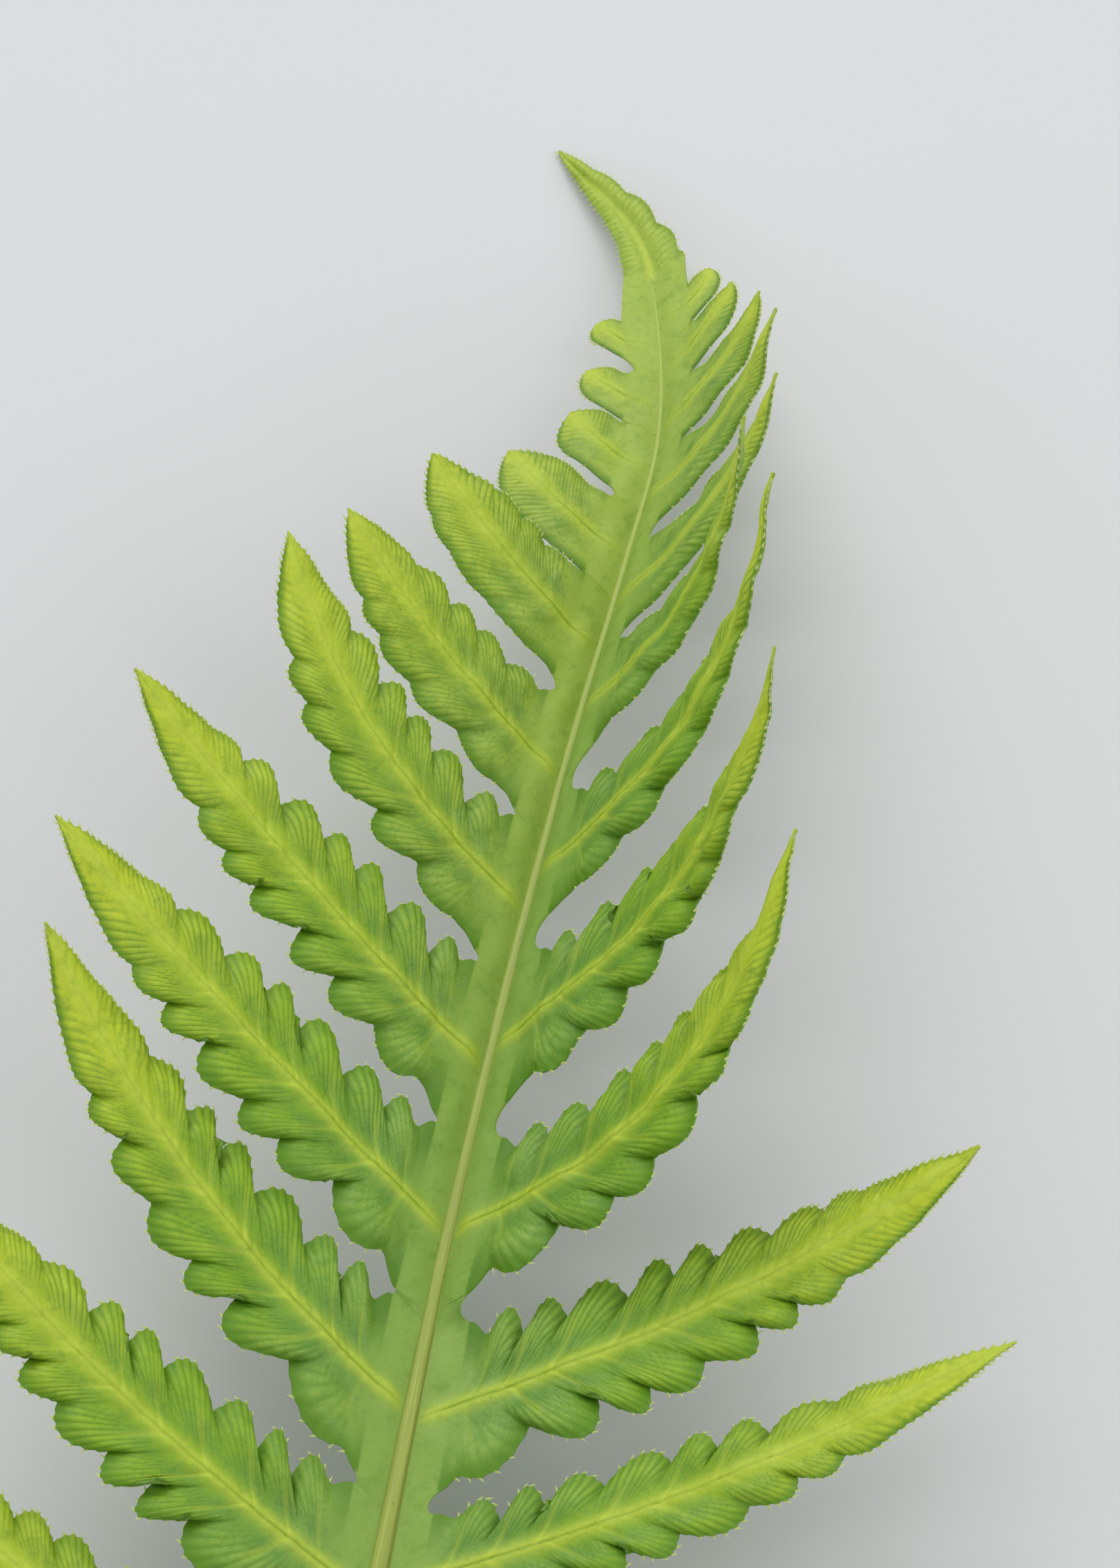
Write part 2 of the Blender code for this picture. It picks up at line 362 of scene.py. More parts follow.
# The cut face, as rings from the rim to a hollow middle, and a small cap at the other end
foot = STALK.at(0.0)
cut_points = []
cut_values = []
for ring in range(1, CUT_RINGS):
    share = 1.0 - ring / CUT_RINGS
    centre = foot + np.array([0.0, CUT_HOLLOW * eased(2.0 * (1.0 - share)), 0.0])
    cut_points.append(centre + (stalk_points[0] - foot) * share)
    cut_values.append(np.full(STALK_SIDES, 1.0 - share))
cut_points.append((foot + np.array([0.0, CUT_HOLLOW, 0.0]))[None])
cut_values.append(np.ones(1))
cap_point = STALK.at(STALK_END)[None]

first_ring = len(stalk_along)
ring_starts = [0, *(first_ring + ring * STALK_SIDES for ring in range(CUT_RINGS - 1))]
cut_middle = first_ring + (CUT_RINGS - 1) * STALK_SIDES
end_middle = cut_middle + 1
last_ring = (len(stalk_places) - 1) * STALK_SIDES
face_triangles = []
for k in range(STALK_SIDES):
    n = (k + 1) % STALK_SIDES
    for outer, inner in zip(ring_starts, ring_starts[1:]):
        face_triangles.append((outer + n, outer + k, inner + n))
        face_triangles.append((inner + n, outer + k, inner + k))
    face_triangles.append((ring_starts[-1] + n, ring_starts[-1] + k, cut_middle))
    face_triangles.append((last_ring + k, last_ring + n, end_middle))

all_points = np.vstack([stalk_points.reshape(-1, 3), *cut_points, cap_point])
all_points[:, 2] = np.maximum(all_points[:, 2], 0.0)
extra = len(all_points) - len(stalk_along)
stalk_readings = {
    "along_stalk": np.concatenate([stalk_along, np.zeros(extra - 1), [STALK_END]]) / STALK_END,
    "around_stalk": np.concatenate([np.sin(stalk_around), np.zeros(extra)]),
    "over_stalk": np.concatenate([np.cos(stalk_around), np.zeros(extra)]),
    "cut": np.concatenate([np.zeros(len(stalk_along)), *cut_values, [0.0]]),
}

stem = Finish("pale stem", Roughness=0.42, Specular_IOR_Level=0.4)
on_stalk = stem.reading("along_stalk")
around = stem.reading("around_stalk")
over = stem.reading("over_stalk")
streak_inputs = {0: around * 3.0, 1: on_stalk * 9.0, 2: over * 3.0}
streaks = stem.noise(stem.node("ShaderNodeCombineXYZ", None, streak_inputs), 3.5, 4.0, 0.6)
speck_inputs = {0: around, 1: on_stalk * 140.0, 2: over}
specks = stem.noise(stem.node("ShaderNodeCombineXYZ", None, speck_inputs), 2.2, 2.0)
cut = stem.reading("cut")
stem_colour = stem.blend(stem.eased(streaks, 0.35, 0.7), colour(*STEM_GREENS[0]), colour(*STEM_GREENS[1]))
for share, tone in (
    # painted shade down the right flank of the stalk
    (stem.eased(around, 0.35, 0.95) * 0.65, STEM_RIGHT_SHADE),
    (stem.eased(on_stalk, 0.55, 1.0) * 0.5, STEM_UPPER),
    (1.0 - stem.eased(on_stalk, 0.0, 0.28), STEM_FOOT),
    (stem.eased(specks, 0.70, 0.76) * 0.6, STEM_SPECK),
    (stem.eased(cut, 0.01, 0.1), CUT_RIM),
    (stem.eased(cut, 0.12, 0.3), CUT_FLESH),
):
    stem_colour = stem.blend(share, stem_colour, colour(*tone))
stem.connect(stem_colour, stem.shader.inputs["Base Color"])
stem.connect(0.34 + streaks * 0.2, stem.shader.inputs["Roughness"])
stem_bump = stem.node("ShaderNodeBump", None, {"Strength": 0.35, "Distance": 0.00006, "Height": streaks})
stem.connect(stem_bump, stem.shader.inputs["Normal"])

piece_of(
    "stalk_stem",
    all_points,
    np.vstack([stalk_triangles, np.array(face_triangles)]),
    stalk_readings,
    stem,
    "stalk",
    "stalk",
)


# The left leaflets
# Thirteen thin green leaflets in one sheet with a wing along the stalk. Each has a soft pale rib,
# lobes that puff up between the veins, fine pleats and a small pale bristle on each vein at the margin.

BLADE_THICKNESS = 0.28
LOWEST = 0.35
WING_WIDTH = 4.5
WING_LEAD = 2.0
LEAFLETS = 13
GROUPS = (("low", 0, 3), ("middle", 4, 7), ("high", 8, 12))
FAR_FROM_STALK = 60.0
YOUNG_AND_LIT_STRETCH = 110.0

LEFT = {
    "side": -1,
    # The yellowing starts sooner on this side: young colour, plus painted light where the leaflets face the
    # lamp
    "young_and_lit_from": 165.0,
    "base": ((0, 99), (3, 157.5), (4, 177.5), (6, 216.5), (8, 252), (9, 266), (10, 279), (12, 299)),
    "length": (
        (0, 50), (2, 60), (3, 58), (5, 52), (6, 46), (7, 34), (8, 26), (9, 16), (10, 9), (11, 6.5), (12, 4.5)
    ),
    "half_width": (
        (0, 6.8), (2, 8.0), (5, 8.0), (7, 6.9), (8, 6.2), (9, 5.0), (10, 4.2), (11, 2.9), (12, 2.2)
    ),
    "angle_root": ((0, 66), (2, 65), (3, 60), (4, 64), (9, 62), (12, 50)),
    "angle_tip": ((0, 58), (2, 56), (3, 45), (4, 60), (5, 58), (6, 34), (7, 52), (8, 48), (12, 40)),
    "fold_root": ((0, -8), (2, 16), (4, 28), (8, 24), (10, 4), (12, -6)),
    "fold_tip": ((0, -18), (2, 24), (3, 36), (4, 30), (6, 30), (7, 30), (8, 12), (9, -12), (12, -20)),
}

# The outline
WIDTH_POWER = ((0, 1.4), (5, 1.5), (7, 1.9))
ROOT_SWELL = 0.05
LOBE_LENGTH = 6.2
LOBED_SHARE = 0.68
LOBE_DEPTH = ((0, 0.42), (5, 0.42), (6, 0.34), (7, 0.22), (8, 0.1), (9, 0.0))
LOBE_FADE_START = 0.58
LOBE_FADE = 0.26
LOBE_CHANGE = 0.25
LOBE_WANDER = 0.12
LOBE_FAN = 0.08
FIRST_LOBE_FILL = 0.55
EDGE_DROOP = 0.05
FORWARD_LEAN = 20.0
LEAN_SETTLED = 0.25
VEIN_TRAIL = 0.6
TOOTH = 0.1

# The relief, in millimetres
PLEATS_A_LOBE = 7
LOBE_MIDDLE = 3 / 7
PLEAT_HEIGHT = 0.07
PUFF_HEIGHT = 0.6
CREASE_DEPTH = 0.24
CREASE_HALF = 0.13
RIB_HEIGHT = 0.26
RIB_HALF = 0.8
WING_RIB_HALF = 0.9
WING_SWELL = 0.2
SLIT_DEPTH = 0.14
SLIT_HALF = 0.17
HOLLOW_DEPTH = 0.16
HOLLOW_PLACE = 2.3
HOLLOW_HALF = 1.1
SIDE_VEIN_DEPTH = 0.10
CURL_DEPTH = 0.75
CURL_WIDTH = 2.2
# height, turns along the leaflet, turns across it
BUMPS = ((0.35, 5.0, 1.5), (0.14, 22.0, 5.0))
# height, turns along and turns across for each millimetre
RIPPLES = ((0.16, 1.1, 1.2), (0.07, 2.6, 2.6))

# The mesh
RIB_STEPS = 400
ROW_STEP = 0.205
FEWEST_ROWS = 24
COLUMNS = (0, 0.02, 0.045, 0.08, 0.13, 0.2, 0.28, 0.37, 0.46, 0.55, 0.64, 0.72, 0.79, 0.86, 0.92, 0.965, 1.0)
WING_STEPS = 16
SINUS_STEPS = 8
SINUS_ROUNDNESS = 1.6

chance = np.random.default_rng(11)

UNEVEN = 0.05
UNEVEN_WAVES = chance.normal(0.0, 0.5, (16, 3))
UNEVEN_STARTS = chance.uniform(0.0, 2 * pi, 16)


def unevenness(points):
    """A soft unevenness that runs on over the whole blade, in millimetres."""
    return UNEVEN * sum(np.cos(points @ wave + start) for wave, start in zip(UNEVEN_WAVES, UNEVEN_STARTS))


def waves(size, *grids):
    """A soft unevenness over one leaflet, about as high as size."""
    total = 0.0
    for _ in range(5):
        lean = chance.normal(0.0, 1.0, len(grids))
        total = total + np.cos(sum(l * g for l, g in zip(lean, grids)) + chance.uniform(0.0, 2 * pi))
    return size * total / 5.0


def side_direction(side, place, fold):
    """The direction from the stalk towards one side, folded up by an angle in degrees."""
    _, across, upward = STALK.frame(place)
    turn = np.radians(fold)[..., None] if np.ndim(fold) else radians(fold)
    return side * np.cos(turn) * across + np.sin(turn) * upward


def both_ways():
    """Where the columns of a leaflet stand, from one margin over the rib to the other."""
    share = np.array(COLUMNS)
    return np.concatenate([-share[:0:-1], share])


def width_share(along, index):
    """How wide a leaflet is at a share of its length, beside its widest."""
    taper = np.cos(0.5 * pi * along ** keyed(WIDTH_POWER, index))
    return taper * (1.0 + ROOT_SWELL - ROOT_SWELL * eased(along / 0.2))


def lobe_share(phase):
    """How far the edge stands out within one lobe, from 0 at its ends to 1."""
    return np.maximum(np.sin(pi * phase**1.1), 0.0) ** 1.05


def young_and_lit_share(sheet, place):
    """How young the blade is at a place along the stalk, from 0 to 1 near the tip; it rises sooner on the
    left side, where it is also painted light on the leaflets that face the lamp.
    """
    return eased((place - sheet["young_and_lit_from"]) / YOUNG_AND_LIT_STRETCH)


def leaflet(sheet, index):
    """The points of a leaflet, row by row along its veins, with its readings and its teeth."""
    side = sheet["side"]
    base, length, half_width = (keyed(sheet[k], index) for k in ("base", "length", "half_width"))
    angles = radians(keyed(sheet["angle_root"], index)), radians(keyed(sheet["angle_tip"], index))
    folds = radians(keyed(sheet["fold_root"], index)), radians(keyed(sheet["fold_tip"], index))
    forward, across, upward = STALK.frame(base)

    # The rib, and the directions ahead, beside and below along it
    table = np.linspace(0.0, 1.0, RIB_STEPS + 1)
    angle = mixed(*angles, eased(table))[:, None]
    fold = mixed(*folds, eased(table))[:, None]
    outward = side * np.cos(fold) * across + np.sin(fold) * upward
    ahead = np.cos(angle) * forward + np.sin(angle) * outward
    beside = np.sin(angle) * forward - np.cos(angle) * outward
    below = side * np.cross(beside, ahead)
    start = STALK.at(base + WING_WIDTH / tan(angles[0]))
    start = start + WING_WIDTH * side_direction(side, base, np.degrees(folds[0]))
    steps = 0.5 * (ahead[1:] + ahead[:-1]) * length / RIB_STEPS
    rib = start + np.vstack([np.zeros(3), np.cumsum(steps, axis=0)])

    # Rows run from the rib out along the veins, which lean forward and straighten towards the margin
    share = both_ways()
    way = np.sign(share)[None]
    out = np.abs(share)[None]
    rows = max(int(length / ROW_STEP), FEWEST_ROWS)
    vein = np.linspace(0.0, 1.0, rows)[:, None]
    trail = np.maximum(VEIN_TRAIL * half_width * width_share(vein, index) / length, 1e-4)
    trail = trail * (1.0 - np.exp(-vein / (1.3 * trail)))
    along = np.clip(vein - trail * (1.0 - out) ** 1.15, 0.0, 1.0)
    away = eased(along * length / 4.0)

    # Lobes: the margin stands out between the notches and fans round each lobe
    lobes = max(1, round(LOBED_SHARE * length / LOBE_LENGTH))
    first = min(0.06, 1.0 / length)
    lobe = (vein - first) / (LOBED_SHARE - first) * lobes
    lobe = np.maximum(lobe + LOBE_WANDER * np.sin(1.9 * lobe + index + 1.3 * way), 0.0)
    phase = lobe % 1.0
    stands = lobe_share(phase)
    stands = np.where(lobe < 0.7, np.maximum(stands, FIRST_LOBE_FILL), stands)
    depth = keyed(LOBE_DEPTH, index) * (1.0 - 0.3 * vein)
    depth = depth * (1.0 - eased((vein - LOBE_FADE_START) / LOBE_FADE))
    depth = depth * (1.0 + LOBE_CHANGE * np.sin(1.7 * lobe + 2.0 * index + way))
    notch = depth * (1.0 - stands) * eased(along / 0.04) * mixed(0.4, 1.0, out)
    width = half_width * width_share(along, index) * (1.0 - notch)
    lobe_size = length * (LOBED_SHARE - first) / lobes
    fan = LOBE_FAN * lobe_size * (phase - 0.5) * np.sin(pi * phase) * (depth / 0.3) * out**3 * away

    # Teeth on the margin, away from the notches and from the leaflet's end
    notch_gap = np.abs((lobe + 0.5) % 1.0 - 0.5)
    tooth = TOOTH * (1.0 - np.cos(2 * pi * PLEATS_A_LOBE * lobe)) * out**8 * away
    tooth = tooth * np.clip(half_width / 6.0, 0.4, 1.0) * eased((1.0 - vein) / 0.06)
    tooth = tooth * mixed(1.0, eased(notch_gap / 0.14), eased(5.0 * depth))

    def at(values):
        return np.stack([np.interp(along, table, values[:, i]) for i in range(3)], axis=-1)

    root_lean = way * (90.0 - np.degrees(angles[0]))
    lean = np.radians(mixed(root_lean, FORWARD_LEAN, eased(along / LEAN_SETTLED)))
    points = (
        at(rib)
        + ((width * out + tooth) * way)[..., None] * at(beside)
        + (width * out * np.tan(lean) + fan + 0.6 * tooth)[..., None] * at(ahead)
        + (EDGE_DROOP * width * out * eased(along / 0.3))[..., None] * at(below)
    )

    # The pleats between the veins, which fan out from the middle of each lobe
    from_rib = width * out
    lobed = depth / 0.36
    in_lobe = eased(2.5 * lobed)
    fanned = mixed(1.0, mixed(0.45, 1.0, out), in_lobe)
    turn = 2 * pi * PLEATS_A_LOBE * (phase - LOBE_MIDDLE) / fanned
    turn = turn + 2.2 * waves(1.0, vein * 12.0, out * way * 2.5)
    turn = turn + 1.2 * waves(1.0, vein * length * 0.9, out * way * 6.0)
    strength = eased((from_rib - 0.7) / (0.26 * half_width)) * eased((along * length - 1.0) / 5.0)
    strength = strength * mixed(1.0, 0.6, eased((vein - 0.6) / 0.4))
    strength = strength * (0.8 + waves(0.4, vein * 9.0, out * way * 4.0))
    strength = strength * mixed(1.0, eased(notch_gap / 0.09), in_lobe)
    pleat = mixed(-np.cos(turn / 2.0), -np.cos(turn), eased((out - 0.12) / 0.25)) * strength

    # The rest of the relief
    small = np.clip(half_width / 8.0, 0.3, 1.0)
    puff = lobed * np.sin(pi * phase) ** 0.8 * eased((out - 0.1) / 0.5)
    crease = bell(notch_gap / CREASE_HALF) * eased((out - 0.25) / 0.6) * lobed
    side_vein = bell((phase - 0.45) / 0.07) * eased((0.75 - out) / 0.4) * eased(lobed) * away
    ridge = bell(from_rib / RIB_HALF)
    slit = bell(from_rib / SLIT_HALF)
    hollow = bell((from_rib - HOLLOW_PLACE) / HOLLOW_HALF) * away * (1.0 - vein)
    hollow = hollow * mixed(0.4, 1.0, np.sin(pi * phase) ** 2)
    narrowing = eased(half_width * width_share(along, index) / 4.0)
    curl = narrowing * eased(1.0 - width * (1.0 - out) / CURL_WIDTH) * eased(out / 0.5)
    height = PLEAT_HEIGHT * pleat - HOLLOW_DEPTH * hollow - SIDE_VEIN_DEPTH * side_vein
    height = height + (RIB_HEIGHT * ridge - SLIT_DEPTH * slit) * (1.0 - 0.8 * vein)
    height = height + (PUFF_HEIGHT * puff - CREASE_DEPTH * crease - CURL_DEPTH * curl) * away
    for size, turns_along, turns_across in BUMPS:
        height = height + waves(size, vein * turns_along, out * way * turns_across) * away
    for size, turns_along, turns_across in RIPPLES:
        height = height + waves(size, vein * length * turns_along, from_rib * way * turns_across) * away

    readings = {
        "height": height * small,
        "along": along,
        # Painted shade on the curled margin, stronger on the margin towards the foot
        "edge": eased((out - 0.7) / 0.3) * np.where(way < 0, 1.0, 0.5),
        "from_stalk": (WING_WIDTH + along * length) / FAR_FROM_STALK,
        "pleat": pleat,
        "crease": crease,
        "rib": ridge + 0.45 * side_vein,
        "slit": slit * (1.0 - vein),
        "hollow": hollow,
        "free": np.ones((1, 1)),
        "young": np.full((1, 1), young_and_lit_share(sheet, base)),
    }
    teeth = []
    for k in (0, -1):
        rows_with = np.flatnonzero(np.diff(np.floor(PLEATS_A_LOBE * lobe[:, k] + 0.5)) > 0)
        teeth.append(rows_with[(notch_gap[rows_with, k] > 0.1) | (depth[rows_with, k] < 0.06)])
    return points, readings, teeth


class Blade:
    """A thin sheet put together from grids that share their borders."""

    def __init__(self):
        self.points = []
        self.triangles = []
        self.readings = {}
        self.marks = []
        self.count = 0

    def add(self, points, readings, flip):
        rows, columns = points.shape[:2]
        triangles = grid_triangles(rows, columns, self.count)
        self.triangles.append(triangles[:, ::-1] if flip else triangles)
        self.points.append(points.reshape(-1, 3))
        for name, values in readings.items():
            values = np.broadcast_to(values, (rows, columns))
            self.readings.setdefault(name, []).append(values.ravel())
        first = self.count
        self.count += rows * columns
        return first + np.arange(rows * columns).reshape(rows, columns)

    def margin(self, rows, ahead_rows, inside_rows):
        """Marks points on the margin that carry a bristle, with points ahead of and inside them."""
        self.marks.append(np.stack([rows, ahead_rows, inside_rows], axis=1))

    def finished(self):
        """The closed sheet with its relief, thickness and bristles: points, triangles, readings."""
        # Points that two grids share are made one
        points = np.vstack(self.points)
        _, first, same = np.unique(np.round(points, 5), axis=0, return_index=True, return_inverse=True)
        same = same.reshape(-1)
        points = points[first]
        readings = {name: np.concatenate(values)[first] for name, values in self.readings.items()}
        triangles = same[np.vstack(self.triangles)]
        a, b, c = triangles.T
        triangles = triangles[(a != b) & (b != c) & (a != c)]

        # The relief, then an upper and a lower skin, joined round the rim
        height = readings.pop("height") + readings.pop("free") * unevenness(points)
        points = points + height[:, None] * normals_of(points, triangles)
        points[:, 2] = np.maximum(points[:, 2], LOWEST)
        out = normals_of(points, triangles)
        upper = points + 0.5 * BLADE_THICKNESS * out
        lower = points - 0.5 * BLADE_THICKNESS * out
        sides = np.vstack([triangles[:, [0, 1]], triangles[:, [1, 2]], triangles[:, [2, 0]]])
        _, start, times = np.unique(np.sort(sides, axis=1), axis=0, return_index=True, return_counts=True)
        near, far = sides[start[times == 1]].T
        count = len(points)
        rim_near = np.stack([far, near, near + count], axis=1)
        rim_far = np.stack([far, near + count, far + count], axis=1)
        body = np.vstack([triangles, triangles[:, ::-1] + count, rim_near, rim_far])

        marks = same[np.vstack(self.marks)]
        spikes, spike_triangles = bristles(points, out, marks)
        corners_each = len(spikes) // len(marks)
        for name, values in readings.items():
            on_spikes = np.repeat(values[marks[:, 0]], corners_each)
            readings[name] = np.concatenate([values, values, on_spikes])
        readings["under"] = np.concatenate([np.repeat([0.0, 1.0], count), np.zeros(len(spikes))])
        readings["bristle"] = np.concatenate([np.zeros(2 * count), np.ones(len(spikes))])
        return np.vstack([upper, lower, spikes]), np.vstack([body, spike_triangles + 2 * count]), readings


def normals_of(points, triangles):
    a, b, c = (points[triangles[:, i]] for i in range(3))
    facing = np.cross(b - a, c - a)
    total = np.zeros_like(points)
    for i in range(3):
        for axis in range(3):
            total[:, axis] += np.bincount(triangles[:, i], facing[:, axis], len(points))
    return total / np.maximum(np.linalg.norm(total, axis=1, keepdims=True), 1e-12)


BRISTLE_SIZES = (0.75, 1.25)
BRISTLE_OUTWARD = 0.58
BRISTLE_FORWARD = 0.34
BRISTLE_UPWARD = 0.05
BRISTLE_SUNK = 0.06
BRISTLE_HALF_WIDTH = 0.2
BRISTLE_HALF_HEIGHT = 0.15
BRISTLE_FACES = ((0, 1, 4), (1, 2, 4), (2, 3, 4), (3, 0, 4), (1, 0, 3), (1, 3, 2))


def bristles(points, out, marks):
    """Small forward-leaning spikes on the margin: four sides and a base each."""
    foot, ahead, inside = (points[marks[:, i]] for i in range(3))
    up = out[marks[:, 0]]
    along = ahead - foot
    along /= np.maximum(np.linalg.norm(along, axis=1, keepdims=True), 1e-9)
    outward = foot - inside
    outward -= np.sum(outward * along, axis=1, keepdims=True) * along
    outward /= np.maximum(np.linalg.norm(outward, axis=1, keepdims=True), 1e-9)
    size = chance.uniform(*BRISTLE_SIZES, (len(foot), 1))
    tip = foot + size * (BRISTLE_OUTWARD * outward + BRISTLE_FORWARD * along + BRISTLE_UPWARD * up)
    middle = foot - BRISTLE_SUNK * outward
    aside = BRISTLE_HALF_WIDTH * along
    above = BRISTLE_HALF_HEIGHT * up
    corners = [middle - aside, middle + above, middle + aside, middle - above, tip]
    outside = np.sum(np.cross(corners[1] - corners[0], tip - corners[0]) * (foot - inside), axis=1)
    triangles = np.array(BRISTLE_FACES)[None] + len(corners) * np.arange(len(foot))[:, None, None]
    turned = np.where((outside < 0)[:, None, None], triangles[:, :, ::-1], triangles)
    return np.stack(corners, axis=1).reshape(-1, 3), turned.reshape(-1, 3)


def fold_at(sheet, place):
    """The fold of the wing at a place along the stalk."""
    roots = [(float(keyed(sheet["base"], k)), float(keyed(sheet["fold_root"], k))) for k in range(LEAFLETS)]
    return keyed(roots, place)


def wing_grid(sheet, outer):
    """The wing from inside the stalk, a little behind, out to a row of points."""
    place = np.clip(STALK.nearest(outer) - WING_LEAD, 0.0, STALK_END)
    sideways = side_direction(sheet["side"], place, fold_at(sheet, place))
    inner = STALK.at(place) + (0.5 * stalk_radius(place))[:, None] * sideways
    share = np.linspace(0.0, 1.0, WING_STEPS + 1)[:, None, None]
    return mixed(inner[None], outer[None], share)


def wing_readings(sheet, places, rib, slit):
    none = np.zeros((1, 1))
    share = np.linspace(0.0, 1.0, WING_STEPS + 1)[:, None]
    swell = WING_SWELL * np.sin(pi * share) ** 2
    return {
        "height": swell + (RIB_HEIGHT * rib - SLIT_DEPTH * slit) * eased(share / 0.7),
        "along": none,
        "edge": none,
        "from_stalk": WING_WIDTH * share / FAR_FROM_STALK,
        "pleat": none,
        "crease": none,
        "rib": rib[None] * eased(share / 0.5),
        "slit": slit[None] * share,
        "hollow": none,
        "free": eased(share * 1.2),
        "young": young_and_lit_share(sheet, places)[None],
    }


def sinus_between(below, above):
    """The rounded hollow between two leaflets, from one margin to the next."""
    start = below[0, -1]
    end = above[0, 0]
    pull = SINUS_ROUNDNESS * np.linalg.norm(end - start)
    leaving = below[0, -1] - below[4, -1]
    arriving = above[4, 0] - above[0, 0]
    leaving *= pull / np.linalg.norm(leaving)
    arriving *= pull / np.linalg.norm(arriving)
    t = np.linspace(0.0, 1.0, SINUS_STEPS + 1)[:, None]
    return (
        (2 * t**3 - 3 * t**2 + 1) * start
        + (t**3 - 2 * t**2 + t) * leaving
        + (3 * t**2 - 2 * t**3) * end
        + (t**3 - t**2) * arriving
    )


def side_pieces(name, sheet, tip_edge, top):
    """The leaflets of one side in groups, with the wing beside them; the last group goes into the top."""
    grown = [leaflet(sheet, index) for index in range(LEAFLETS)]
    flip = sheet["side"] > 0
    for group, first, last in GROUPS:
        blade = top if last == LEAFLETS - 1 else Blade()
        for index in range(first, last + 1):
            points, readings, both_teeth = grown[index]
            where = blade.add(points, readings, flip)
            for edge, inside, teeth in ((0, 2, both_teeth[0]), (-1, -3, both_teeth[1])):
                teeth = teeth[(teeth > 3) & (teeth < len(points) - 3)]
                blade.margin(where[teeth, edge], where[teeth + 2, edge], where[teeth, inside])

            # The wing beside the leaflet's root, which carries its rib on to the stalk
            root = points[0]
            half_width = keyed(sheet["half_width"], index)
            from_rib = np.abs(both_ways()) * half_width / sin(radians(keyed(sheet["angle_root"], index)))
            small = np.clip(half_width / 8.0, 0.3, 1.0)
            rib = bell(from_rib / WING_RIB_HALF) * small
            slit = bell(from_rib / SLIT_HALF) * small
            blade.add(wing_grid(sheet, root), wing_readings(sheet, STALK.nearest(root), rib, slit), flip)

            # The wing up to the next leaflet, or to the tip
            if index < LEAFLETS - 1:
                gap = sinus_between(points, grown[index + 1][0])
            else:
                gap = np.linspace(root[-1], tip_edge, SINUS_STEPS + 1)
            none = np.zeros(len(gap))
            blade.add(wing_grid(sheet, gap), wing_readings(sheet, STALK.nearest(gap), none, none), flip)
        if blade is not top:
            piece_of(f"leaflets_{name}_{group}", *blade.finished(), leaf, "leaf", "blade")


# The green of the leaf, from the stalk out, with painted shade in the pleat valleys, creases, hollows, rib
# groove and curled margins, a painted highlight on the pleat crests and painted light that yellows the left
# leaflets sooner
ROOT_GREEN = colour(122, 164, 64)
LEAF_GREEN = colour(144, 182, 38)
END_YELLOW = colour(208, 220, 50)
YOUNG_AND_LIT_YELLOW = colour(196, 210, 66)
WING_PALE = colour(166, 192, 96)
WRINKLE_GREEN = colour(92, 144, 66)
VALLEY_SHADE = colour(84, 134, 30)
CREST_HIGHLIGHT = colour(192, 214, 92)
HOLLOW_SHADE = colour(82, 136, 62)
CREASE_SHADE = colour(74, 122, 32)
MOTTLE_GREEN = colour(90, 142, 36)
EDGE_SHADE = colour(84, 134, 10)
RIB_PALE = colour(198, 214, 70)
SLIT_SHADE = colour(108, 148, 24)
GRAIN_GREEN = colour(100, 150, 44)
UNDER_PALE = colour(156, 188, 100)
BRISTLE_PALE = colour(212, 220, 138)
GLOW_GREEN = colour(160, 198, 24)
LIT_THROUGH = 0.25

leaf = Finish("leaf green", Roughness=0.5, Specular_IOR_Level=0.35)
leaf_place = leaf.place()
leaf_along = leaf.reading("along")
leaf_stalk = leaf.reading("from_stalk")
leaf_pleat = leaf.reading("pleat")
cloud = leaf.noise(leaf_place, 90.0, 3.0)
wrinkle = leaf.noise(leaf_place, 330.0, 4.0, 0.6)
wrinkle = 1.0 - leaf.eased(abs(wrinkle - 0.5), 0.0, 0.035)
wrinkle = wrinkle * leaf.eased(leaf_stalk, 0.04, 0.14) * (1.0 - leaf_along * 0.6)
mottle = leaf.noise(leaf_place, 520.0, 3.0, 0.6)
grain = leaf.noise(leaf_place, 1600.0, 2.0)

leaf_colour = leaf.blend(leaf.eased(leaf_stalk + cloud * 0.3, 0.18, 0.6), ROOT_GREEN, LEAF_GREEN)
for share, tone in (
    (leaf.eased(leaf_along + cloud * 0.35, 0.5, 1.1), END_YELLOW),
    # yellower where the blade is young towards the tip, and sooner on the left as painted light on the
    # leaflets facing the lamp
    (leaf.reading("young") * 0.8, YOUNG_AND_LIT_YELLOW),
    ((1.0 - leaf.eased(leaf_stalk + cloud * 0.08, 0.0, 0.38)) * 0.55, WING_PALE),
    (wrinkle * 0.35, WRINKLE_GREEN),
    # painted shade in the pleat valleys
    (leaf.eased(leaf_pleat, 0.25, -0.9) * 0.6, VALLEY_SHADE),
    # painted highlight on the pleat crests
    (leaf.eased(leaf_pleat, 0.2, 1.0) * 0.28, CREST_HIGHLIGHT),
    # painted shade in the hollows beside the rib
    (leaf.reading("hollow") * 0.7, HOLLOW_SHADE),
    # painted shade in the creases running in from the notches
    (leaf.reading("crease") * 0.5, CREASE_SHADE),
    (leaf.eased(mottle, 0.5, 0.72) * 0.35, MOTTLE_GREEN),
    # painted shade on the curled-down margins
    (leaf.reading("edge") * 0.85, EDGE_SHADE),
    (leaf.reading("rib") * 0.9, RIB_PALE),
    # painted shade in the groove along the rib
    (leaf.reading("slit") * 0.85, SLIT_SHADE),
    (leaf.eased(grain, 0.45, 0.75) * 0.18, GRAIN_GREEN),
    (leaf.reading("under") * 0.45, UNDER_PALE),
    (leaf.reading("bristle"), BRISTLE_PALE),
):
    leaf_colour = leaf.blend(share, leaf_colour, tone)
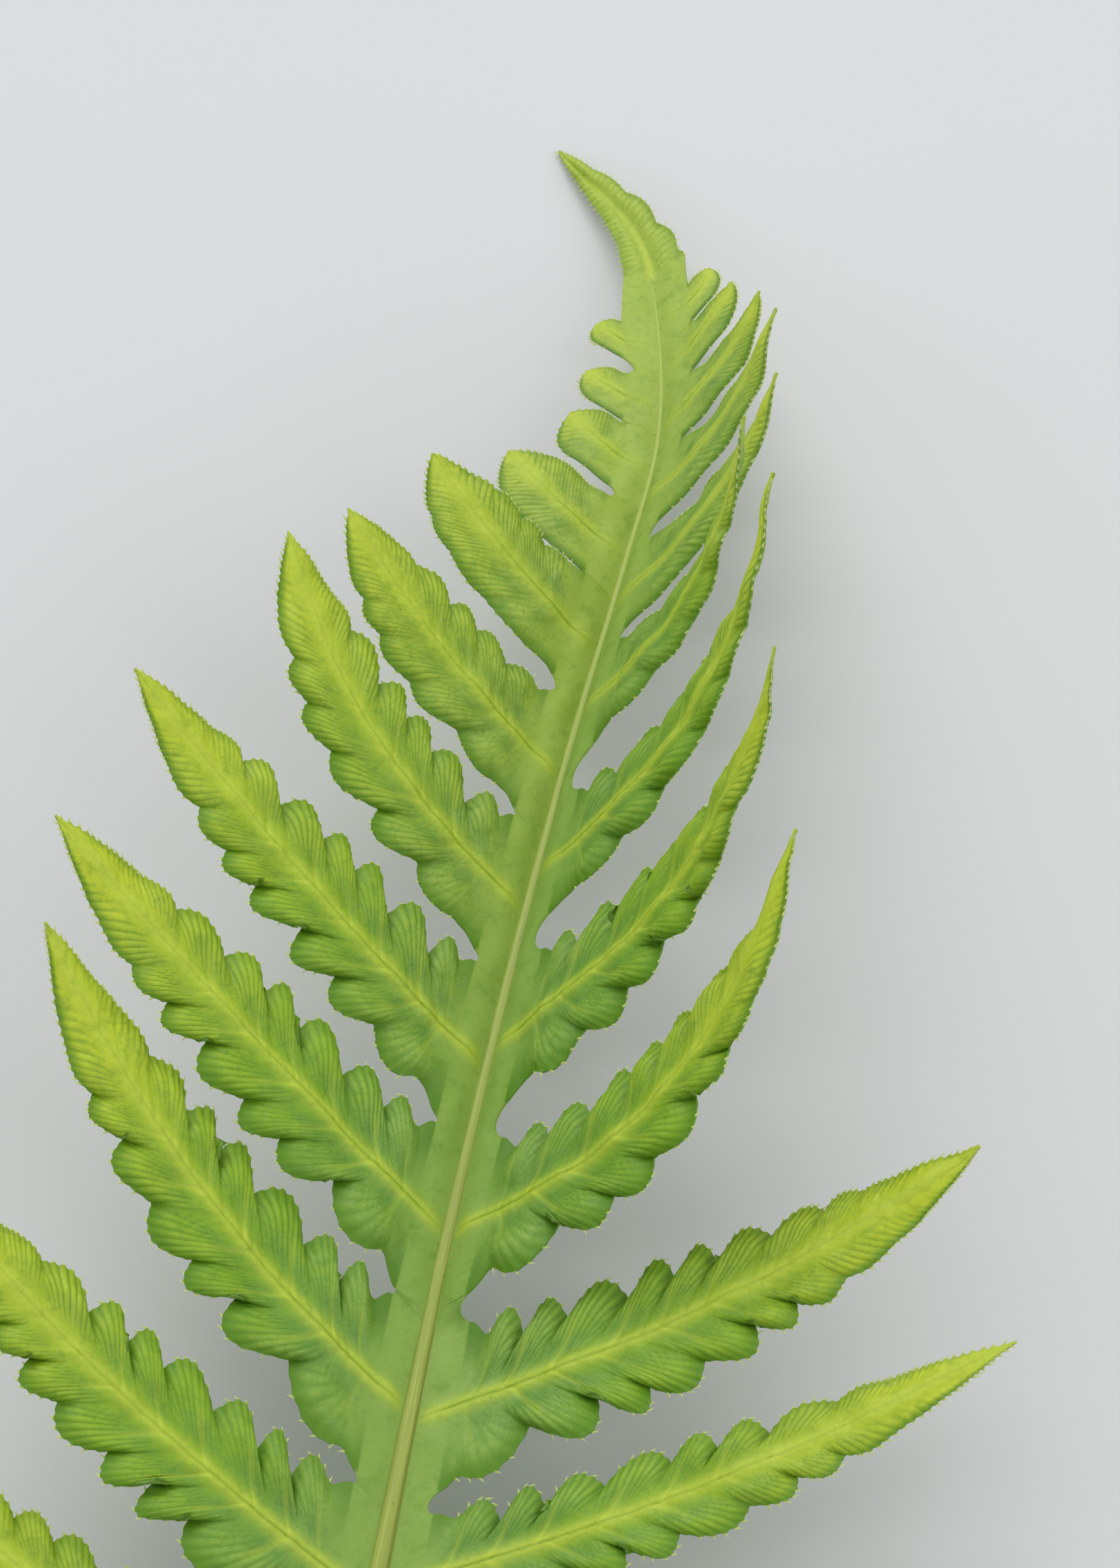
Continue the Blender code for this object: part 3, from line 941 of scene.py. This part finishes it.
leaf.connect(leaf_colour, leaf.shader.inputs["Base Color"])
leaf.connect(0.44 + grain * 0.16, leaf.shader.inputs["Roughness"])
skin_height = grain * 0.6 + mottle * 1.2 - wrinkle * 0.5
skin = leaf.node("ShaderNodeBump", None, {"Strength": 0.4, "Distance": 0.00012, "Height": skin_height})
leaf.connect(skin, leaf.shader.inputs["Normal"])

# Some light comes through the thin sheet
glow = leaf.node("ShaderNodeBsdfTranslucent", None, {"Color": GLOW_GREEN})
surface = Value(leaf, leaf.shader.outputs[0])
lit_through = leaf.node("ShaderNodeMixShader", None, {0: LIT_THROUGH, 1: surface, 2: glow})
leaf.connect(lit_through, leaf.output.inputs["Surface"])

# Where the last stretch of the blade starts, and how far it reaches on each side of the rib
TIP_START = STALK_END + 0.9
TIP_REACH = {-1: 3.4, 1: 4.8}
TIP_LEAN = 0.4


def tip_margin(sheet, share, reach):
    """A point or points on the margin of the tip, at a share of its length."""
    place = mixed(TIP_START, STALK.length, share)
    forward = STALK.frame(place)[0]
    sideways = side_direction(sheet["side"], place, fold_at(sheet, place))
    reach = np.asarray(reach)[..., None]
    return STALK.at(place) + reach * sideways + TIP_LEAN * reach * forward


top = Blade()
side_pieces("left", LEFT, tip_margin(LEFT, 0.0, TIP_REACH[-1]), top)


# The right leaflets
# The same green sheet on the other side of the stalk, with the same lobes, pleats and bristles. Its
# leaflets are folded steeply upwards, the more so towards the tip.

RIGHT = {
    "side": 1,
    "young_and_lit_from": 215.0,
    "base": ((0, 98), (2, 139), (3, 157), (4, 178), (7, 243), (9, 274), (10, 285.5), (11, 295), (12, 302.5)),
    "length": (
        (0, 50), (2, 64), (3, 60), (4, 55), (5, 54), (6, 50), (7, 38),
        (8, 30), (9, 24), (10, 16), (11, 9.5), (12, 5.5),
    ),
    "half_width": (
        (0, 6.8), (1, 7.0), (2, 5.8), (3, 7.8), (5, 8.2), (6, 7.0), (7, 6.2),
        (9, 5.3), (10, 4.2), (11, 3.0), (12, 2.2),
    ),
    "angle_root": ((0, 66), (3, 64), (4, 70), (5, 66), (9, 62), (12, 50)),
    "angle_tip": ((0, 60), (3, 56), (4, 28), (5, 55), (6, 44), (7, 62), (9, 50), (10, 46), (12, 20)),
    "fold_root": ((0, -8), (2, 8), (3, 12), (4, 36), (5, 46), (7, 54), (9, 54), (10, 48), (12, 28)),
    "fold_tip": ((0, -18), (2, 16), (3, 28), (4, 69), (5, 82), (7, 90), (8, 73), (9, 75), (10, 60), (12, 26)),
}

side_pieces("right", RIGHT, tip_margin(RIGHT, 0.0, TIP_REACH[1]), top)


# The tip
# The last stretch of the green sheet, where the leaflets have run together into one small notched
# point round the end of the rib. It is one piece with the highest leaflets of both sides.

TIP_STEP = 0.2
TIP_TAPER = 0.75
TIP_LOBES = 4
TIP_NOTCH = {-1: 0.06, 1: 0.26}
TIP_RIB_HALF = 0.4
TIP_PLEAT_HEIGHT = 0.05
TIP_PLEAT_SHADE = 0.35
TIP_SWELL = 0.15

tip_share = np.linspace(0.0, 1.0, int((STALK.length - TIP_START) / TIP_STEP))
tip_lobe = tip_share * TIP_LOBES
tip_place = mixed(TIP_START, STALK.length, tip_share)
tip_stands = lobe_share(tip_lobe % 1.0)
out = np.linspace(0.0, 1.0, WING_STEPS + 1)
ends = (1.0 - eased((tip_share - 0.8) / 0.2))[:, None]
fades = eased(tip_share / 0.1)[:, None] * ends
none = np.zeros((1, 1))
for sheet in (LEFT, RIGHT):
    side = sheet["side"]
    depth = TIP_NOTCH[side] * eased(tip_lobe / 0.3) * (1.0 - 0.7 * tip_share)
    reach = TIP_REACH[side] * (1.0 - tip_share) ** TIP_TAPER * (1.0 - depth * (1.0 - tip_stands))
    edge = tip_margin(sheet, tip_share, reach)
    grid = mixed(STALK.at(tip_place)[:, None], edge[:, None], out[None, :, None])
    from_rib = reach[:, None] * out[None]
    rib = bell(from_rib / TIP_RIB_HALF) * (1.0 - tip_share)[:, None]
    pleat = -np.cos(2 * pi * PLEATS_A_LOBE * tip_lobe)[:, None] * eased((out - 0.2) / 0.5)[None]
    pleat = TIP_PLEAT_SHADE * pleat * fades
    swell = (WING_SWELL + TIP_SWELL * fades) * np.sin(pi * out)[None] ** 2 * ends
    readings = {
        "height": RIB_HEIGHT * rib + TIP_PLEAT_HEIGHT * pleat + swell,
        "along": mixed(0.35, 1.0, tip_share)[:, None],
        "edge": 0.5 * eased((out - 0.7) / 0.3)[None],
        "from_stalk": from_rib / FAR_FROM_STALK + 0.1,
        "pleat": pleat,
        "crease": none,
        "rib": rib,
        "slit": none,
        "hollow": none,
        "free": eased(out * 1.2)[None],
        "young": young_and_lit_share(sheet, tip_place)[:, None],
    }
    where = top.add(grid, readings, side < 0)
    teeth = np.flatnonzero(np.diff(np.floor(PLEATS_A_LOBE * tip_lobe + 0.5)) > 0)
    teeth = teeth[(teeth > 2) & (teeth < len(tip_share) - 3)]
    top.margin(where[teeth, -1], where[teeth + 2, -1], where[teeth, -3])
    # A narrow strip joins the wing to the first row of the tip
    wing_end = wing_grid(sheet, edge[:1])[:, 0]
    near = {name: np.broadcast_to(values, grid.shape[:2])[[0, 0]] for name, values in readings.items()}
    top.add(np.stack([wing_end, grid[0]]), near, side < 0)
piece_of("blade_top", *top.finished(), leaf, "leaf", "blade")
